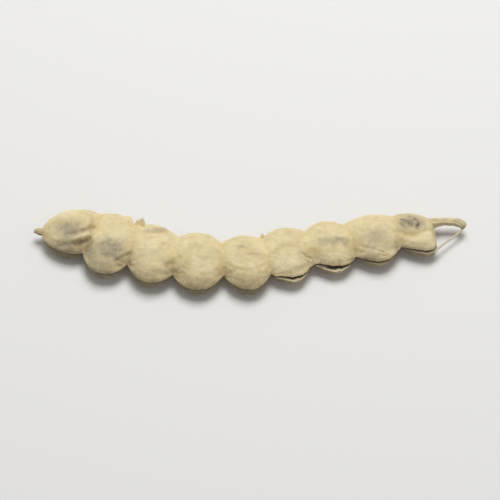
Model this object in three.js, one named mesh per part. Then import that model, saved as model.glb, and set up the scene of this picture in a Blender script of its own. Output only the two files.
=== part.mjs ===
// A dry babul pod (the fruit of the gum arabic tree): a flat, felted pod pinched like a necklace
// into nine seed chambers, bent in its own plane, with a curled stalk and one torn seam fibre.
//
// Frame, in millimetres: the pod lies on its flat side on z = 0. +X runs along the pod from the
// beak to the stalk, +Y points to its hollow (far) side, +Z is up. The origin is under the middle
// of the whole object.
//
// The length of the pod is measured in chambers: at q = 1 the beak meets the first chamber, at
// q = 2 to 9 are the eight waists, and at q = 10 the last chamber meets the stalk.
import * as THREE from "three";

// ---- Driving dimensions ----

// The midline: beak point, pod tip, the eight waists, root of the stalk. [x, y]
const MIDLINE = [
  [-55.2, 5.4],
  [-53.0, 5.6],
  [-40.4, 4.4],
  [-30.2, 1.4],
  [-18.8, -1.8],
  [-6.9, -3.0],
  [4.0, -1.8],
  [15.1, 0.6],
  [25.4, 2.6],
  [37.4, 5.0],
  [46.3, 8.1],
];
const FIRST_CHAMBER = 1;
const LAST_CHAMBER = 9;

// Half-width from the midline to each seam at the points of the midline, and how far each
// chamber swells out past the line between its two waists.
const NEAR_WAIST = [0.25, 5.4, 6.3, 6.1, 6.2, 5.2, 6.1, 5.3, 5.4, 5.0, 7.4];
const FAR_WAIST = [0.25, 4.8, 6.5, 5.7, 5.6, 4.9, 5.1, 5.0, 5.1, 5.2, 1.6];
const NEAR_SWELL = [0, 1.3, 5.0, 4.0, 4.2, 4.3, 2.7, 2.5, 2.5, 2.1];
const FAR_SWELL = [0, 1.9, 1.6, 1.6, 2.4, 1.9, 2.2, 1.6, 1.6, 0.9];

// How far each cross-section leans: its shift along the pod for each millimetre across it.
const SLANT = [0, 0, 0.16, -0.12, -0.08, -0.05, -0.04, 0, -0.08, 0.02, -0.05];

// The two valves. Rise is a valve's height off the seam's plane at mid-chamber. From the middle to
// the seams it falls as 1 - |c| ** squareness to the power fall, and beside an open seam the lower
// valve falls more softly, by openFall.
const UPPER_VALVE = {
  side: 1,
  rise: [0, 2.9, 3.3, 3.5, 3.6, 3.5, 3.4, 3.2, 3.1, 2.7],
  squareness: 2.3,
  fall: 0.62,
  openFall: 0,
};
const LOWER_VALVE = {
  side: -1,
  rise: [0, 2.9, 3.3, 3.35, 3.3, 3.4, 3.35, 3.3, 3.15, 2.8],
  squareness: 2.8,
  fall: 0.56,
  openFall: 0.4,
};
const WAIST_SHARE = 0.72; // thickness left at a waist, as a share of the chambers beside it
const SEAM_HEIGHT = 3.15; // the seam's plane above the table
const SEAM_LIFT = 0.5; // how much higher the near seam rides, LIFT_REACH across from the midline
const LIFT_REACH = 8;
const SEAM_INSET = 0.35; // how far the near seam is sunk between the valves while it is closed

// Exponents of the rounding curves.
const SWELL_FULLNESS = 0.75; // of a chamber's outline: 1 is a parabola, less is fuller
const DOME_FLATNESS = 2.4; // of a chamber's thickness from waist to waist: more is flatter on top
const DOME_FALL = 1.5; // and how softly it comes down to the waists
const WAIST_FALL = 0.38; // how much more softly a valve falls to the seams at a waist
const EDGE_SHARPNESS = 3; // how close to the seams the waists turn from soft saddles into notches
const TIP_ROUNDNESS = 2; // of the pod's tip: 2 is a round end, more is blunter
const BUTT_ROUNDNESS = 5; // of the end at the stalk
const NOTCH_ROUNDING = 0.05; // how blunt the V between two chambers is

const BEAK_POINT = 0.25; // half-thickness of the beak's point
const BEAK_ROOT = 0.9; // and where it meets the pod
const STALK_ROOT = 1.2; // half-thickness of the pod where the stalk starts

// The seam: each valve ends in a thin lip, and the lips of the near seam gape on some chambers.
const LIP_THICKNESS = 0.55;
const CLOSED_SLIT = 0.1; // half the space between the lips where they touch
const OPEN_SLIT = 0.45; // and where they gape widest
const CLOSED_DEPTH = 0.6; // how deep the seam's groove is where the lips touch
const OPEN_DEPTH = 2.4; // and where they gape
const GAPES = [0, 0, 0, 0, 0, 0, 0.6, 0.7, 0.5, 0.45]; // how far each chamber gapes, 0 to 1
const LIP_STAGGER = 0.35; // how far the lower lip stands out there, and the upper one draws back

const STATIONS_PER_CHAMBER = 12;
const BEAK_STATIONS = 3;
const VALVE_POINTS = 10; // across each valve, lip to lip
const END_CROWDING = 0.008; // how much closer the stations stand at both ends of the pod

// Stalk and torn fibre: centreline points [x, y, z] and the radius along them.
const STALK_PATH = [
  [47.1, 8.0, 3.2],
  [49.2, 8.2, 3.3],
  [51.6, 8.4, 3.4],
  [53.7, 7.8, 3.2],
  [54.5, 6.6, 2.9],
];
const STALK_RADII = [1.45, 1.0, 0.93, 0.9, 0.8];
const FIBRE_PATH = [
  [48.0, 1.4, 2.3],
  [49.4, 2.5, 2.2],
  [51.6, 4.1, 2.2],
  [53.4, 5.2, 2.1],
];
const FIBRE_RADII = [0.36, 0.3, 0.28, 0.3];
const LIMB_SIDES = 10;
const LIMB_STATIONS = 16;

// ---- Shape functions ----

const { lerp, clamp } = THREE.MathUtils;

// A table's value at q, straight between its entries.
function along(table, q) {
  const i = Math.min(Math.floor(q), table.length - 2);
  return lerp(table[i], table[i + 1], q - i);
}

// How far one chamber swells between two waists, u = -1 to 1: a full arch with rounded feet. A
// softness of 1 makes it a bell with wide feet.
function swell(u, softness) {
  const toWaist = 1 - Math.abs(u);
  return (1 - u * u) ** (SWELL_FULLNESS + softness) * (toWaist / (toWaist + NOTCH_ROUNDING));
}

// Closes an end: 0 at the end, 1 from one chamber away, rounder or blunter with the exponent.
function cap(distance, roundness) {
  return Math.sqrt(1 - (1 - clamp(distance, 0, 1)) ** roundness);
}

// Blends a size down to the beak at one end of the pod and to the stalk's root at the other.
function closed(size, q) {
  if (q < FIRST_CHAMBER) return lerp(BEAK_POINT, BEAK_ROOT, q);
  if (q < FIRST_CHAMBER + 1) return lerp(BEAK_ROOT, size, cap(q - FIRST_CHAMBER, TIP_ROUNDNESS));
  if (q > LAST_CHAMBER) return lerp(STALK_ROOT, size, cap(LAST_CHAMBER + 1 - q, BUTT_ROUNDNESS));
  return size;
}

// Distance from the midline to a seam.
function halfWidth(waists, swells, q, softness) {
  const i = Math.min(Math.floor(q), LAST_CHAMBER);
  return closed(along(waists, q) + swells[i] * swell(2 * (q - i) - 1, softness), q);
}

// Thickness of one valve on the midline, off the seam's plane.
function rise(rises, q) {
  const i = clamp(Math.floor(q), FIRST_CHAMBER, LAST_CHAMBER);
  const v = clamp(q - i, 0, 1);
  const beside = clamp(v < 0.5 ? i - 1 : i + 1, FIRST_CHAMBER, LAST_CHAMBER);
  const waist = (WAIST_SHARE * (rises[i] + rises[beside])) / 2;
  const dome = (1 - Math.abs(2 * v - 1) ** DOME_FLATNESS) ** DOME_FALL;
  return closed(lerp(waist, rises[i], dome), q);
}

// How near a place is to a waist: 1 on it, 0 halfway along a chamber.
function pinch(q) {
  return (1 + Math.cos(2 * Math.PI * q)) / 2;
}

// How far the near seam gapes, 0 to 1: nothing at the waists, most just past mid-chamber.
function gape(q) {
  if (q > LAST_CHAMBER + 0.9) return 0;
  const v = q - Math.floor(q);
  return GAPES[Math.floor(q)] * Math.sin(Math.PI * v ** 1.3) ** 2;
}

// Where each seam runs, across from the midline.
function nearEdge(q, softness) {
  const shut = 1 - Math.min(2 * gape(q), 1);
  const sunk = SEAM_INSET * clamp(q - FIRST_CHAMBER, 0, 1) * shut;
  return sunk - halfWidth(NEAR_WAIST, NEAR_SWELL, q, softness);
}

function farEdge(q, softness) {
  return halfWidth(FAR_WAIST, FAR_SWELL, q, softness);
}

// One valve's points [across, z] from its near lip, c = -1, to its far lip, c = 1. Away from the
// lips the waists draw in more softly than the seams do, and leave a wide saddle.
function valve({ side, rise: rises, squareness, fall, openFall }, q, lip, slit) {
  const open = gape(q);
  const points = [];
  for (let j = 0; j < VALVE_POINTS; j++) {
    const c = -Math.cos((Math.PI * j) / (VALVE_POINTS - 1));
    const nearShare = (1 - c) / 2;
    const softness = 1 - Math.abs(c) ** EDGE_SHARPNESS;
    const drop = fall + openFall * open * nearShare + WAIST_FALL * pinch(q) ** 2;
    const shoulder = (1 - Math.abs(c) ** squareness) ** drop;
    const edge = lip + slit * nearShare;
    const height = lerp(edge, Math.max(edge, rise(rises, q)), shoulder);
    const across = lerp(farEdge(q, softness), nearEdge(q, softness), nearShare);
    points.push([across + side * LIP_STAGGER * open * nearShare, side * height]);
  }
  return points;
}

// The cross-section at q: points [across, z], from the bottom of the near seam's groove over the
// upper valve to the far seam and back under the lower valve.
function section(q) {
  const near = nearEdge(q, 0);
  const far = farEdge(q, 0);
  const open = gape(q);
  const lip = Math.min(LIP_THICKNESS, closed(LIP_THICKNESS, q) / 2);
  const slit = lerp(CLOSED_SLIT, OPEN_SLIT, open);
  const depth = Math.min(lerp(CLOSED_DEPTH, OPEN_DEPTH, open), -0.4 * near);
  const upper = valve(UPPER_VALVE, q, lip, slit);
  const lower = valve(LOWER_VALVE, q, lip, slit);
  const bevel = lip * lerp(0.2, 0.9, open);
  return [
    [near + depth, -slit * open],
    [upper[0][0] + 0.2 * lip, slit],
    ...upper,
    [far + 0.25 * lip, 0],
    ...lower.reverse(),
    [near - LIP_STAGGER * open + bevel, -slit],
  ];
}

const midlineCurve = new THREE.CatmullRomCurve3(
  MIDLINE.map(([x, y]) => new THREE.Vector3(x, y, 0)), false, "catmullrom", 0.5);

// Stands a point of the cross-section at q on the midline. The near seam rides a little higher,
// and the table flattens what would reach below it.
function placed([across, z], q) {
  const t = clamp(q / (MIDLINE.length - 1), 0, 1);
  const point = midlineCurve.getPoint(t);
  const heading = midlineCurve.getTangent(t);
  const ahead = along(SLANT, q) * across;
  const lift = SEAM_LIFT * clamp(-across / LIFT_REACH, 0, 1) ** 2;
  return new THREE.Vector3(
    point.x - heading.y * across + heading.x * ahead,
    point.y + heading.x * across + heading.y * ahead,
    Math.max(0, SEAM_HEIGHT + z + lift));
}

// ---- Closed skins ----

// Pulls a sphere's net over a row of rings: each ring is a list of points, and the sphere's two
// poles close the first and last of them.
function skin(rings, firstPole, lastPole) {
  const sides = rings[0].length;
  const geometry = new THREE.SphereGeometry(1, sides, rings.length + 1);
  const position = geometry.getAttribute("position");
  for (let row = 0; row <= rings.length + 1; row++)
    for (let column = 0; column <= sides; column++) {
      const p = row === 0 ? firstPole
        : row > rings.length ? lastPole
          : rings[row - 1][column % sides];
      position.setXYZ(row * (sides + 1) + column, p.x, p.y, p.z);
    }
  geometry.computeVertexNormals();
  return geometry;
}

function middleOf(ring) {
  return ring.reduce((sum, p) => sum.add(p), new THREE.Vector3()).divideScalar(ring.length);
}

// The pod: its cross-sections from the beak's point to the root of the stalk.
function podGeometry() {
  const chambers = LAST_CHAMBER + 1 - FIRST_CHAMBER;
  const stations = chambers * STATIONS_PER_CHAMBER;
  const rings = [];
  for (let k = 0; k < BEAK_STATIONS; k++) rings.push(k / BEAK_STATIONS);
  for (let k = 0; k <= stations; k++) {
    const v = k / stations;
    rings.push(FIRST_CHAMBER + chambers * (v - END_CROWDING * Math.sin(2 * Math.PI * v)));
  }
  const placedRings = rings.map((q) => section(q).map((p) => placed(p, q)));
  return skin(placedRings, middleOf(placedRings[0]), middleOf(placedRings.at(-1)));
}

// A tapering round limb along a path, with a flat end at each pole.
function limbGeometry(path, radii) {
  const curve = new THREE.CatmullRomCurve3(path.map((p) => new THREE.Vector3(...p)));
  const frames = curve.computeFrenetFrames(LIMB_STATIONS, false);
  const rings = [];
  for (let k = 0; k <= LIMB_STATIONS; k++) {
    const t = k / LIMB_STATIONS;
    const centre = curve.getPointAt(t);
    const radius = along(radii, t * (radii.length - 1));
    const ring = [];
    for (let s = 0; s < LIMB_SIDES; s++) {
      const angle = (-2 * Math.PI * s) / LIMB_SIDES;
      ring.push(centre.clone()
        .addScaledVector(frames.normals[k], radius * Math.cos(angle))
        .addScaledVector(frames.binormals[k], radius * Math.sin(angle)));
    }
    rings.push(ring);
  }
  return skin(rings, curve.getPointAt(0), curve.getPointAt(1));
}

// ---- The object ----

function mesh(name, geometry, color, roughness) {
  const made = new THREE.Mesh(
    geometry, new THREE.MeshStandardMaterial({ color, roughness, metalness: 0 }));
  made.name = name;
  return made;
}

const babulPod = new THREE.Group();
babulPod.add(
  mesh("pod", podGeometry(), 0xd6c9a0, 0.95),
  mesh("stalk", limbGeometry(STALK_PATH, STALK_RADII), 0xb9ab86, 0.95),
  mesh("seam_fibre", limbGeometry(FIBRE_PATH, FIBRE_RADII), 0xc9b98f, 0.9),
);

export default babulPod;
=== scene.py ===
# %% [markdown]
# # A dry babul pod
#
# The pod of the gum arabic tree is a flat husk, pinched between its seeds until it looks like a
# string of cushions. An upper and a lower valve meet in a seam along both edges, and a short pale
# felt covers them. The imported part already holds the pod's size and place, so the first step loads
# it as a fixed frame. Everything made here rides on that frame and keeps to its box.

from math import radians

import bpy
import numpy as np
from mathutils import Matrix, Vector


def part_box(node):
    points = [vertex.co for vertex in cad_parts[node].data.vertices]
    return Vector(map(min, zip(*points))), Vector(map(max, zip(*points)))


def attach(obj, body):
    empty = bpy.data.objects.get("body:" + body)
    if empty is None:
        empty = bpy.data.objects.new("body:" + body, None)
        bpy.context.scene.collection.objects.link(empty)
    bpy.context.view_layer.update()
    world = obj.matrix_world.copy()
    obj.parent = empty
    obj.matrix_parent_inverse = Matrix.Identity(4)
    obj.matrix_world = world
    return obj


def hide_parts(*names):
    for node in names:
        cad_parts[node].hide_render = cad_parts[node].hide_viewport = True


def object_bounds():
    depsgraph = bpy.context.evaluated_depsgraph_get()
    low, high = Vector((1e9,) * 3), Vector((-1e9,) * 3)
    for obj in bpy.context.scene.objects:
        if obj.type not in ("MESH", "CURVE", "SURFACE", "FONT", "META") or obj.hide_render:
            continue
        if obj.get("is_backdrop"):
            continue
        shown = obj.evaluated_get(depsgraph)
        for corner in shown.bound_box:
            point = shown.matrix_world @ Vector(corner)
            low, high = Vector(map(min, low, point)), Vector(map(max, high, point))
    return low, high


MM = 0.001  # a millimetre, in the metres that the scene is measured in

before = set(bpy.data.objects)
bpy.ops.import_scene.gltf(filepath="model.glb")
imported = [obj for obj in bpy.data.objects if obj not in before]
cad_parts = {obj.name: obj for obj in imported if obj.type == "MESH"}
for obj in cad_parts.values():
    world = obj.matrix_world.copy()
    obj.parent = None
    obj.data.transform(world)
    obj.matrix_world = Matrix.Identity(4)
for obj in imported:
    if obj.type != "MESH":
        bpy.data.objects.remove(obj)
cad_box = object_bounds()
for name in sorted(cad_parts):
    low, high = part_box(name)
    print(f"{name}: {[round(size / MM, 1) for size in high - low]} mm")

# %% [markdown]
# ## The plan of the pod
#
# A pod could be sculpted by hand, but its shape has a simple rule: a bent midline, and a width and
# a thickness that swell and shrink along it. So the whole skin is one function of two parameters.
# The first, q, counts chambers: 1 is the pod's tip, 2 to 9 are the waists, and 10 is the root of
# the stalk. The second goes round the pod. Tables and sizes are in millimetres. They are the packed
# part's own, and a comment says so where the skin departs from them.

# %% The midline, and how far the pod spreads from it
MIDLINE = np.array([
    [-55.2, 5.4], [-53.0, 5.6], [-40.4, 4.4], [-30.2, 1.4], [-18.8, -1.8], [-6.9, -3.0],
    [4.0, -1.8], [15.1, 0.6], [25.4, 2.6], [37.4, 5.0], [46.3, 8.1],
])
FIRST_CHAMBER = 1
LAST_CHAMBER = 9

# Half-width from the midline to each seam at the midline's points, and how far each chamber swells
# out past the line between its two waists.
NEAR_WAIST = [0.25, 5.4, 6.3, 6.1, 6.2, 5.2, 6.1, 5.3, 5.4, 5.0, 7.4]
FAR_WAIST = [0.25, 4.8, 6.5, 5.7, 5.6, 4.9, 5.1, 5.0, 5.1, 5.2, 1.6]
NEAR_SWELL = np.array([0, 1.3, 5.0, 4.0, 4.2, 4.3, 2.7, 2.5, 2.5, 2.1])
FAR_SWELL = np.array([0, 1.9, 1.6, 1.6, 2.4, 1.9, 2.2, 1.6, 1.6, 0.9])

WAISTS = np.arange(FIRST_CHAMBER + 1, LAST_CHAMBER + 1)
print(f"{LAST_CHAMBER} chambers, {len(WAISTS)} waists")


# %% A smooth curve through points
def through(knots, t):
    """Point and unit heading at t on a smooth curve through the knots, which it meets at t = 0, 1,
    2 and so on. Between two knots runs a Catmull-Rom cubic: its slope at each of them is half the
    step from the knot before to the knot after."""
    spread = np.vstack([2 * knots[0] - knots[1], knots, 2 * knots[-1] - knots[-2]])
    i = np.clip(np.floor(t).astype(int), 0, len(knots) - 2)
    w = (t - i)[..., None]
    before, start, end, after = (spread[i + k] for k in range(4))
    slope_in = (end - before) / 2
    slope_out = (after - start) / 2
    square = 3 * (end - start) - 2 * slope_in - slope_out
    cube = 2 * (start - end) + slope_in + slope_out
    point = start + w * (slope_in + w * (square + w * cube))
    slope = slope_in + w * (2 * square + 3 * w * cube)
    return point, slope / np.linalg.norm(slope, axis=-1, keepdims=True)


steps = through(MIDLINE, np.linspace(0, len(MIDLINE) - 1, 400))[0]
print(f"midline: {np.linalg.norm(np.diff(steps, axis=0), axis=1).sum():.1f} mm long")


# %% Three small tools
def between(low, high, share):
    """The value a share of the way from low to high."""
    return low + (high - low) * share


def table(values, q):
    """A table's value at q, straight between its entries."""
    return np.interp(q, np.arange(len(values)), values)


def bump(distance, width):
    """A soft bump: 1 in the middle, and e to the power of minus (distance / width)² beside it."""
    return np.exp(-(distance / width) ** 2)


print(f"a bump is {bump(1, 1):.2f} high one width away and {bump(2, 1):.2f} two widths away")

# %% Outline of the chambers
SWELL_FULLNESS = 0.75
NOTCH_ROUNDING = 0.05
TIP_ROUNDNESS = 2
BUTT_ROUNDNESS = 5
# Half-sizes of the beak's point, of the beak where it meets the pod, and of the stalk's root.
BEAK_POINT = 0.25
BEAK_ROOT = 0.9
STALK_ROOT = 1.2


def swell(u, softness=0):
    """How far a chamber swells between its waists, u = -1 to 1: a full arch, (1 - u²) to the
    power 0.75, whose feet are rounded off close to the waists. A softness of 1 makes it a bell
    with wide feet, as the power grows to 1.75."""
    to_waist = 1 - np.abs(u)
    arch = np.maximum(1 - u * u, 0) ** (SWELL_FULLNESS + softness)
    return arch * (to_waist / (to_waist + NOTCH_ROUNDING))


def cap(distance, roundness):
    """Closes an end: 0 at the end, 1 from one chamber away, blunter with a larger roundness."""
    return np.sqrt(1 - (1 - np.clip(distance, 0, 1)) ** roundness)


def closed(size, q):
    """A size, blended down to the beak at one end of the pod and to the stalk's root at the other."""
    tip = between(BEAK_ROOT, size, cap(q - FIRST_CHAMBER, TIP_ROUNDNESS))
    butt = between(STALK_ROOT, size, cap(LAST_CHAMBER + 1 - q, BUTT_ROUNDNESS))
    beak = between(BEAK_POINT, BEAK_ROOT, q)
    return np.select([q < FIRST_CHAMBER, q < FIRST_CHAMBER + 1, q > LAST_CHAMBER],
                     [beak, tip, butt], size)


def half_width(waists, swells, q, softness=0):
    """Distance from the midline to a seam: the waists' line and each chamber's swell on top."""
    i = np.minimum(np.floor(q).astype(int), LAST_CHAMBER)
    return closed(table(waists, q) + swells[i] * swell(2 * (q - i) - 1, softness), q)


middles = np.arange(FIRST_CHAMBER, LAST_CHAMBER + 1) + 0.5
widths = half_width(NEAR_WAIST, NEAR_SWELL, middles) + half_width(FAR_WAIST, FAR_SWELL, middles)
print(f"chambers: {widths.min():.1f} to {widths.max():.1f} mm wide")

# %% Thickness of the chambers
# Each valve's height off the seam's plane at mid-chamber. From the middle to the seams it falls as
# 1 - |c|^squareness to the power fall, and beside an open seam the fall grows by open_fall.
UPPER_VALVE = {
    "side": 1, "squareness": 2.3, "fall": 0.62, "open_fall": 0,
    "rise": np.array([0, 2.9, 3.3, 3.5, 3.6, 3.5, 3.4, 3.2, 3.1, 2.7]),
}
LOWER_VALVE = {
    "side": -1, "squareness": 2.8, "fall": 0.56, "open_fall": 0.4,
    "rise": np.array([0, 2.9, 3.3, 3.35, 3.3, 3.4, 3.35, 3.3, 3.15, 2.8]),
}
WAIST_SHARE = 0.72
DOME_FLATNESS = 2.4
DOME_FALL = 1.5


def rise(rises, q):
    """Thickness of one valve on the midline: the waist's, and on it a dome, which follows
    1 - |u|^2.4 to the power 1.5 for u = -1 to 1 from waist to waist."""
    i = np.clip(np.floor(q).astype(int), FIRST_CHAMBER, LAST_CHAMBER)
    v = np.clip(q - i, 0, 1)
    beside = np.clip(np.where(v < 0.5, i - 1, i + 1), FIRST_CHAMBER, LAST_CHAMBER)
    waist = WAIST_SHARE * (rises[i] + rises[beside]) / 2
    dome = (1 - np.abs(2 * v - 1) ** DOME_FLATNESS) ** DOME_FALL
    return closed(between(waist, rises[i], dome), q)


def pinch(q):
    """How near a place is to a waist: a raised cosine, 1 on a waist and 0 halfway along a chamber."""
    return (1 + np.cos(2 * np.pi * q)) / 2


for label, valve in (("upper", UPPER_VALVE), ("lower", LOWER_VALVE)):
    heights = rise(valve["rise"], middles)
    print(f"{label} valve: {heights.min():.1f} to {heights.max():.1f} mm thick")

# %% [markdown]
# ## The two seams
#
# The far seam is shut all along, but the near one has sprung open on the four chambers beside the
# stalk. Cutting the slits out of a finished skin would leave ragged faces. Here the gape is one
# more number along the pod, 0 where the lips touch, and the cross-section opens by it later. The
# corners beside some waists, and a notch where skin has torn away, are bumps added to an edge.

# %% How far the near seam gapes
# Each chamber's widest gape, 0 to 1, and how far its upper lip has shrunk back at most. In the
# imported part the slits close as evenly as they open, the last one gapes 0.45, and each upper lip
# shrinks back by 0.35 times its gape.
GAPES = np.array([0, 0, 0, 0, 0, 0, 0.6, 0.7, 0.5, 0.38, 0])
DRAWN_BACK = np.array([0, 0, 0, 0, 0, 0, 0.8, 1.4, 0.35, 0.6, 0])
SLIT_END = 0.88
# v² (1 - v) and v (1 - v)² are 4/27 at their highest, which this brings to 1.
TO_ONE = 27 / 4


def gape(q):
    """How far the near seam gapes, 0 to 1: in each chamber v² (1 - v) times its most, for v = 0 to
    1 from its first waist to the end of its slit, which opens slowly and closes quickly."""
    v = np.minimum((q - np.floor(q)) / SLIT_END, 1)
    return GAPES[np.floor(q).astype(int)] * TO_ONE * v ** 2 * (1 - v)


def drawn_back(q):
    """How far the upper lip has shrunk back from the seam's line, in millimetres: in each chamber
    v (1 - v)² times its most, for v = 0 to 1 from waist to waist, and most a third of the way."""
    v = q - np.floor(q)
    return DRAWN_BACK[np.floor(q).astype(int)] * TO_ONE * v * (1 - v) ** 2


print(f"slits: {(GAPES > 0).sum()}, on chambers {np.flatnonzero(GAPES).tolist()}")

# %% Where the edges leave the rule's line
# A place along the pod, how far out, and its width in chambers. Squarer corners stand out, and the
# torn notch is negative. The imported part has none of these.
NEAR_CORNERS = [(2.87, 0.6, 0.17), (6.08, 0.5, 0.08), (7.0, 0.45, 0.07), (7.9, 0.5, 0.10)]
FAR_CORNERS = [(2.78, 0.9, 0.12), (3.17, -0.9, 0.08)]
SLOW_STRAY = 0.12
QUICK_STRAY = 0.08
SEAM_INSET = 0.65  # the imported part's is 0.35: the lower valve shows more under the closed seam here


def corners(places, q):
    """How far an edge leaves its line at q, in millimetres: the sum of a bump at each place."""
    return sum(out * bump(q - place, spread) for place, out, spread in places)


def stray(q, slow, quick):
    """How far a torn edge strays from its line, in millimetres: a slow and a quick sine of q."""
    return SLOW_STRAY * np.sin(slow * q) + QUICK_STRAY * np.sin(quick * q)


def near_edge(q, softness=0):
    """Where the near seam runs, across from the midline. While it is closed it is sunk a little
    between the two valves, and where it gapes its torn lips stray."""
    sunk = SEAM_INSET * np.clip(q - FIRST_CHAMBER, 0, 1) * (1 - np.minimum(2 * gape(q), 1))
    edge = half_width(NEAR_WAIST, NEAR_SWELL, q, softness) + corners(NEAR_CORNERS, q)
    return sunk + gape(q) * stray(q, slow=31, quick=73) - edge


def far_edge(q, softness=0):
    """Where the far seam runs, across from the midline."""
    return half_width(FAR_WAIST, FAR_SWELL, q, softness) + corners(FAR_CORNERS, q)


print(f"corners and notches: {len(NEAR_CORNERS)} near, {len(FAR_CORNERS)} far")

# %% [markdown]
# ## The cross-section
#
# Cut across, the pod is a flat bean with two seams. The near seam has two thin lips round a slit,
# and where it gapes the lower lip stands out past the upper one. Two shells glued together would
# show a gap or cut into each other there, so the cut is laid out as one closed loop: slit, upper
# lip, upper valve, far seam, lower valve, lower lip. A closed loop gives a closed skin, with real
# walls wherever the seam is open.

# %% One valve, from lip to lip
LIP_THICKNESS = 0.55
LOWER_LIP_OUT = 0.35
EDGE_CROWDING = 0.6
EDGE_SHARPNESS = 3
WAIST_FALL = 0.38


def across_valve(count):
    """Places from the near lip, -1, to the far lip, 1, closer together at the steep edges: a
    straight line of them blended with a sine."""
    even = np.linspace(-1, 1, count)
    return EDGE_CROWDING * np.sin(np.pi * even / 2) + (1 - EDGE_CROWDING) * even


def lip_thickness(q):
    """Thickness of a lip, which thins at the pod's ends."""
    return np.minimum(LIP_THICKNESS, closed(LIP_THICKNESS, q) / 2)


def valve_curve(q, c, valve, open_share, slit):
    """One valve at c = -1 to 1 from its near lip to its far lip. Its height falls from the middle
    to the lips as 1 - |c|^squareness to a power that rises at the waists, which rounds off the
    corners of the chambers. Away from the lips the waists draw in more softly than the seams do,
    and leave a wide saddle."""
    near_share = (1 - c) / 2
    softness = 1 - np.abs(c) ** EDGE_SHARPNESS
    near = near_edge(q, softness)
    far = far_edge(q, softness)
    edge = lip_thickness(q) + slit * near_share
    out_of_line = drawn_back(q) if valve["side"] == 1 else -LOWER_LIP_OUT * open_share
    fall = valve["fall"] + valve["open_fall"] * open_share * near_share
    shoulder = (1 - np.abs(c) ** valve["squareness"]) ** (fall + WAIST_FALL * pinch(q) ** 2)
    height = between(edge, np.maximum(edge, rise(valve["rise"], q)), shoulder)
    across = between(far, near, near_share) + out_of_line * near_share
    return across, valve["side"] * height


print(f"lips: {LIP_THICKNESS} mm thick, {lip_thickness(np.array([0.0]))[0]:.2f} mm on the beak's point")

# %% Points of the loop, and the shape of its two seams
UPPER_POINTS = 72
LOWER_POINTS = 46
SLIT_POINTS = 19
LIP_POINTS = 5
FAR_POINTS = 9
# Half the space between the lips, and how deep the groove between them is, closed and wide open.
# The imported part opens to 0.45.
CLOSED_SLIT = 0.10
OPEN_SLIT = 0.55
CLOSED_DEPTH = 0.6
OPEN_DEPTH = 2.4
DEEPEST_SHARE = 0.4  # of the way from the lips to the midline
RAGGEDNESS = 0.7
LIP_BULGE = 0.3
FAR_GROOVE = 0.35
FAR_GROOVE_WIDTH = 0.3

LOOP = [SLIT_POINTS, LIP_POINTS, UPPER_POINTS, FAR_POINTS, LOWER_POINTS, LIP_POINTS]
print(f"a loop of {sum(LOOP)} points, {SLIT_POINTS} of them in the slit")


# %% The whole loop, at every station at once
def cross_section(q):
    """The loop's points at each station, as across and height from the seam's plane, with three
    masks: the side they are on (1 upper, -1 lower, 0 in a seam), c from lip to lip, and how deep
    inside the slit they are, in millimetres. The slit is half an ellipse, each lip half a circle
    pressed flat, and the far seam a rounded edge with a groove along it."""
    q = q[:, None]
    near = near_edge(q)
    far = far_edge(q)
    open_share = gape(q)
    uneven = RAGGEDNESS * open_share * stray(q, slow=43, quick=59)
    slit = between(CLOSED_SLIT, OPEN_SLIT, open_share) + uneven
    depth = np.minimum(between(CLOSED_DEPTH, OPEN_DEPTH, open_share), -DEEPEST_SHARE * near)
    lip = lip_thickness(q)

    tilt = np.linspace(-np.pi / 2, np.pi / 2, SLIT_POINTS)[None, :]
    inside = depth * np.cos(tilt)
    out_of_line = np.where(tilt > 0, drawn_back(q), LOWER_LIP_OUT * open_share) * np.sin(tilt)
    slit_across = near + out_of_line + inside
    slit_height = slit * np.sin(tilt)

    turn = (np.pi * np.arange(1, LIP_POINTS + 1) / (LIP_POINTS + 1))[None, :]
    lip_height = slit + lip * (1 - np.cos(turn)) / 2
    upper_lip = near + drawn_back(q) - LIP_BULGE * lip * np.sin(turn)
    lower_lip = near - LOWER_LIP_OUT * open_share - LIP_BULGE * lip * np.sin(turn)

    upper_c = across_valve(UPPER_POINTS)[None, :]
    lower_c = across_valve(LOWER_POINTS)[None, ::-1]
    upper = valve_curve(q, upper_c, UPPER_VALVE, open_share, slit)
    lower = valve_curve(q, lower_c, LOWER_VALVE, open_share, slit)

    down = np.linspace(1, -1, FAR_POINTS + 2)[None, 1:-1]
    edge_shape = LIP_BULGE * np.cos(np.pi * down / 2) - FAR_GROOVE * bump(down, FAR_GROOVE_WIDTH)
    far_across = far + lip * edge_shape
    far_height = lip * down

    across = [slit_across, upper_lip, upper[0], far_across, lower[0], lower_lip[:, ::-1]]
    height = [slit_height, lip_height, upper[1], far_height, lower[1], -lip_height[:, ::-1]]
    side = np.repeat([0, 1, 1, 0, -1, -1], LOOP)
    c = np.concatenate([np.full(SLIT_POINTS + LIP_POINTS, -1), upper_c[0],
                        np.full(FAR_POINTS, 1), lower_c[0], np.full(LIP_POINTS, -1)])
    deep = np.zeros((len(q), sum(LOOP)))
    deep[:, :SLIT_POINTS] = inside
    return np.hstack(across), np.hstack(height), side, c, deep


# %% Stations along the pod, and the loops in their places
STATIONS = 580
BEAK_STATIONS = 16
END_CROWDING = 0.008
SLANT = [0, 0, 0.16, -0.12, -0.08, -0.05, -0.04, 0, -0.08, 0.02, -0.05]
SEAM_HEIGHT = 3.15
SEAM_LIFT = 0.5
LIFT_REACH = 8


def stations():
    """Places along the pod: a few on the beak, and the rest closer together towards both ends."""
    v = np.linspace(0, 1, STATIONS)
    body = FIRST_CHAMBER + LAST_CHAMBER * (v - END_CROWDING * np.sin(2 * np.pi * v))
    return np.concatenate([np.linspace(0, FIRST_CHAMBER, BEAK_STATIONS)[:-1], body])


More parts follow.
